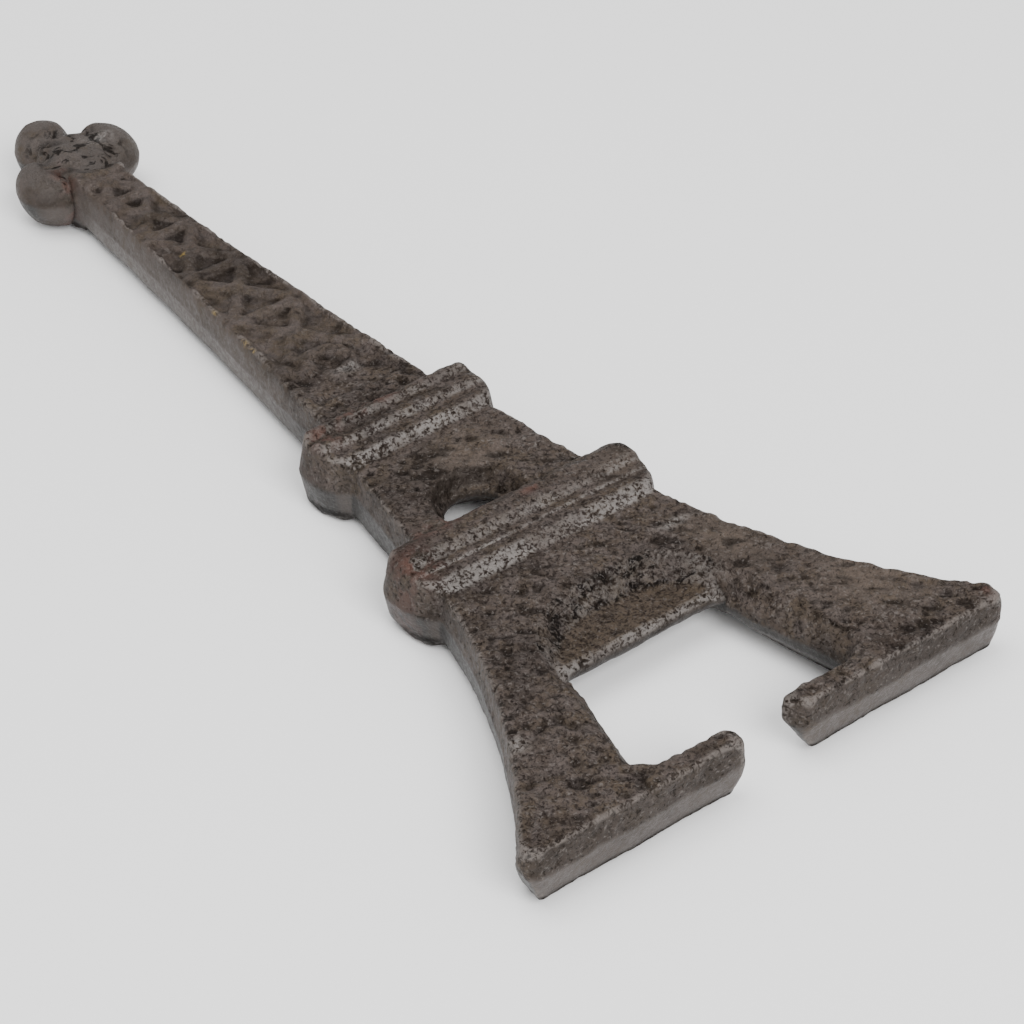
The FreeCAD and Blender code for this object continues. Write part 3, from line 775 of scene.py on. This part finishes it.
# near black: the painted shade and shadow lines, and the dark specks of the iron
SHADE_AND_SOOT = (0.0035, 0.003, 0.0027)
RUST = (0.078, 0.032, 0.021)
BRASS = (0.300, 0.205, 0.055)

IRON_METALLIC = 0.15
BUMP_DISTANCE = 0.0003


def oxide_colour(f, g):
    """The patchy oxide that covers the casting, region by region."""
    patch = g.middle
    colour = f.mix(f.between(g.coarse, 0.36, 0.62), BROWN, OLIVE)
    colour = f.mix(f.between(patch, 0.38, 0.64, 0.1, 1.0), colour, MAUVE)
    colour = f.mix(f.between(g.broad, 0.52, 0.38, 0.0, 0.55), colour, UMBER)
    colour = f.mix(f.times(f.note("floor"), 0.75), colour, OLIVE)
    darker = f.times(f.between(g.fine, 0.58, 0.38), f.between(g.calm, 0.0, 1.0, 0.85, 0.45))
    colour = f.mix(darker, colour, UMBER)
    tan = f.times(f.note("tan"), f.between(patch, 0.35, 0.6, 0.2, 0.75))
    colour = f.mix(tan, colour, TAN)
    pale = f.times(f.note("pale"), f.between(patch, 0.3, 0.6, 0.4, 0.9))
    colour = f.mix(pale, colour, WALL_GREY)
    colour = f.mix(f.times(f.note("brow"), 0.65), colour, DARK_BROWN)
    # painted shade over the lower halves of the walls
    colour = f.mix(f.times(f.note("belly"), 0.85), colour, BELLY_GREY)
    finial = f.times(f.note("finial"), f.between(patch, 0.3, 0.6, 0.25, 0.8))
    colour = f.mix(finial, colour, WALL_GREY)
    sole = f.times(f.note("sole"), f.between(patch, 0.28, 0.6, 0.4, 0.9))
    return f.mix(sole, colour, FACET_GREY)


def worn_and_highlit_colour(f, g, colour):
    """Grey where the iron is worn, a painted highlight on the slopes that face the feet and along
    the convex edges and crests of the relief, then the rust and the specks of brass.
    """
    # paint the slopes pale: partly worn iron, partly a painted highlight
    flecks = f.between(f.sum(f.times(g.relief, 0.10), f.sum(g.fine, g.speck)), 0.88, 1.12)
    streak = f.between(g.coarse, 0.34, 0.58, 0.35, 1.0)
    colour = f.mix(f.times(f.times(f.note("slope"), flecks), streak), colour, SLOPE_GREY)
    bare = f.times(f.note("bare"), f.between(g.fine, 0.42, 0.58))
    colour = f.mix(bare, colour, SLOPE_GREY)
    # painted highlight along the convex edges and on the crests of the relief, partly worn iron too
    edge_wear_and_highlight = f.between(f.sum(g.fine, f.times(g.relief, 0.08)), 0.42, 0.60)
    edges = f.times(f.between(g.bulge, 0.12, 0.18), edge_wear_and_highlight)
    colour = f.mix(f.times(edges, 0.85), colour, EDGE_GREY)
    crests = f.times(f.between(g.relief, 0.35, 1.0), f.between(g.speck, 0.5, 0.62, 0.0, 0.45))
    colour = f.mix(crests, colour, EDGE_GREY)
    rust = f.times(f.note("rust"), f.between(g.middle, 0.42, 0.58, 0.0, 0.8))
    colour = f.mix(rust, colour, RUST)
    return f.mix(f.times(g.brass, f.between(g.fine, 0.42, 0.52)), colour, BRASS)


def shaded_and_sooted_colour(f, g, colour):
    """Painted shade in the hollows, the lattice's pockets, the dips of the relief, the pits and
    nicks, the cracks and the arch's slope, a painted shadow line along the low rim and under the
    lip, and fine dark and pale specks over it all.
    """
    # painted shade in the lattice's pockets, where the wide blur shows a hollow on the shaft's face
    pocket = f.times(f.between(g.bulge, -0.02, -0.11), f.times(g.calm, f.between(g.wall, 1.0, 0.2)))
    # painted shadow: a broken dark line along the arch's slope
    broken = f.times(f.note("arch"), f.between(f.grain(2.4, 3, 0.6, twist=1.0), 0.48, 0.60))
    # painted shade: dark cracks over the finial's rough core
    cracks = f.times(f.note("core"), f.between(f.grain(2.2, 3, 0.6, twist=1.2), 0.48, 0.38))
    shade_and_soot_marks = [
        # painted shade in the pockets and in every hollow
        f.times(pocket, 0.4),
        f.between(g.bulge, -0.03, -0.20, 0.0, 0.75),
        # painted shadow on the arch's slope
        f.times(broken, f.between(g.fine, 0.62, 0.45, 0.2, 0.85)),
        # painted shade in the cracks
        f.times(cracks, 0.8),
        # painted shade in the dips of the sand relief and in the pits and nicks
        f.times(f.between(g.relief, 0.0, -1.0), f.between(g.wall, 1.0, 0.0, 0.25, 0.6)),
        f.times(f.note("pitted"), 0.3),
        # painted shadow line along the low rim and under the lip
        f.times(f.note("rim"), 0.7),
    ]
    for share in shade_and_soot_marks:
        colour = f.mix(share, colour, SHADE_AND_SOOT)
    flecked = f.times(
        f.between(g.underside, 0.0, 1.0, 1.0, 0.3), f.between(g.calm, 0.0, 1.0, 1.0, 0.3))
    colour = f.mix(f.times(f.between(g.speck, 0.45, 0.32, 0.0, 0.65), flecked), colour, SHADE_AND_SOOT)
    return f.mix(f.times(f.between(g.speck, 0.57, 0.70, 0.0, 0.5), flecked), colour, EDGE_GREY)


def make_iron():
    """Old oiled cast iron: brown oxide, painted shade in the hollows, grey where it is worn or
    smooth, and painted highlights on the slopes that face the feet and on the edges.
    """
    f = Finish("cast_iron")
    g = SimpleNamespace(
        broad=f.grain(11.0, 3, 0.6, twist=0.4), coarse=f.grain(7.0, 3), middle=f.grain(2.2, 4),
        fine=f.grain(0.6, 4, 0.6, twist=1.0), speck=f.grain(0.45, 3, 0.6, twist=0.6),
        wall=f.note("wall"), calm=f.note("calm"), bulge=f.note("bulge"), relief=f.note("relief"),
        brass=f.note("brass"))
    g.underside = f.times(g.wall, f.note("under"))
    colour = shaded_and_sooted_colour(f, g, worn_and_highlit_colour(f, g, oxide_colour(f, g)))

    gloss = f.between(g.fine, 0.35, 0.65, 0.50, 0.72)
    gloss = f.sum(gloss, f.times(g.underside, -0.14))
    gloss = f.sum(gloss, f.times(g.brass, -0.2))

    bump = f.node("ShaderNodeBump")
    f.set(bump.inputs["Height"], f.sum(g.fine, f.times(g.speck, 0.5)))
    f.set(bump.inputs["Strength"], f.between(g.wall, 0.0, 1.0, 1.0, 0.4))
    f.set(bump.inputs["Distance"], BUMP_DISTANCE)

    # the painted shade and the dark specks take up the light, so the darker the colour the weaker
    # its shine
    brightness = f.node("ShaderNodeRGBToBW")
    f.set(brightness.inputs["Color"], colour)
    shine = f.between(brightness.outputs["Val"], 0.008, 0.035, 0.04, 0.30)

    surface = f.node("ShaderNodeBsdfPrincipled")
    f.set(surface.inputs["Base Color"], colour)
    f.set(surface.inputs["Metallic"], IRON_METALLIC)
    f.set(surface.inputs["Specular IOR Level"], shine)
    f.set(surface.inputs["Roughness"], gloss)
    f.set(surface.inputs["Normal"], bump.outputs["Normal"])
    return f.show(surface)


# --- stage, light and camera, in metres ----------------------------------------------------------

FLOOR_HALF = 3.0
# just under the object, so that their faces don't share a plane
FLOOR_HEIGHT = -0.00002
FLOOR_COLOUR = (0.95, 0.95, 0.95, 1.0)
FLOOR_ROUGHNESS = 0.8

ROOM_COLOUR = (1.0, 1.0, 1.0, 1.0)
ROOM_STRENGTH = 0.85
# Lamps: name, place, side and power in watts.  The key lamp is over the feet.
LAMPS = [("key", (-0.10, -0.66, 0.62), 0.45, 8.4), ("top", (-0.2, 0.1, 0.9), 0.6, 5.0)]

AIM = Vector((0.00448, -0.02392, 0.0013))
BACKWARD = Vector((-0.4747, -0.6107, 0.6338))
DISTANCE = 0.3793
# focal length and sensor width in millimetres
LENS = 112.29
SENSOR = 36.0
CLIP_START = 0.01


def make_floor_paint():
    """A matt pale paint."""
    f = Finish("floor_paint")
    surface = f.node("ShaderNodeBsdfPrincipled")
    f.set(surface.inputs["Base Color"], FLOOR_COLOUR)
    f.set(surface.inputs["Roughness"], FLOOR_ROUGHNESS)
    return f.show(surface)


def make_stage():
    """A pale floor, under the object and far past it."""
    mesh = bpy.data.meshes.new("floor")
    corners = [(-1, -1), (1, -1), (1, 1), (-1, 1)]
    points = [(x * FLOOR_HALF, y * FLOOR_HALF, FLOOR_HEIGHT) for x, y in corners]
    mesh.from_pydata(points, [], [(0, 1, 2, 3)])
    mesh.materials.append(make_floor_paint())
    floor = bpy.data.objects.new("floor", mesh)
    bpy.context.scene.collection.objects.link(floor)


def make_light():
    """Plain studio light: a bright room, and soft square lamps that face the object."""
    world = bpy.data.worlds.new("studio")
    world.use_nodes = True
    background = world.node_tree.nodes["Background"]
    background.inputs["Color"].default_value = ROOM_COLOUR
    background.inputs["Strength"].default_value = ROOM_STRENGTH
    bpy.context.scene.world = world
    for name, place, side, power in LAMPS:
        lamp = bpy.data.lights.new(name, "AREA")
        lamp.size = side
        lamp.energy = power
        holder = bpy.data.objects.new(name, lamp)
        holder.location = place
        holder.rotation_euler = (-Vector(place)).to_track_quat("-Z", "Y").to_euler()
        bpy.context.scene.collection.objects.link(holder)


def make_camera():
    """The camera, which looks down on the opener from beyond its left foot."""
    camera = bpy.data.cameras.new("camera")
    camera.lens = LENS
    camera.sensor_width = SENSOR
    camera.clip_start = CLIP_START
    holder = bpy.data.objects.new("camera", camera)
    holder.location = AIM + BACKWARD.normalized() * DISTANCE
    holder.rotation_euler = BACKWARD.to_track_quat("Z", "Y").to_euler()
    bpy.context.scene.collection.objects.link(holder)
    bpy.context.scene.camera = holder


iron = make_iron()
for name, part in cut_pieces(make_skin()).items():
    make_piece(name, part, iron)
# the shaft's skin carries the relief of the lattice too
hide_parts("shaft_lattice")
make_stage()
make_light()
make_camera()
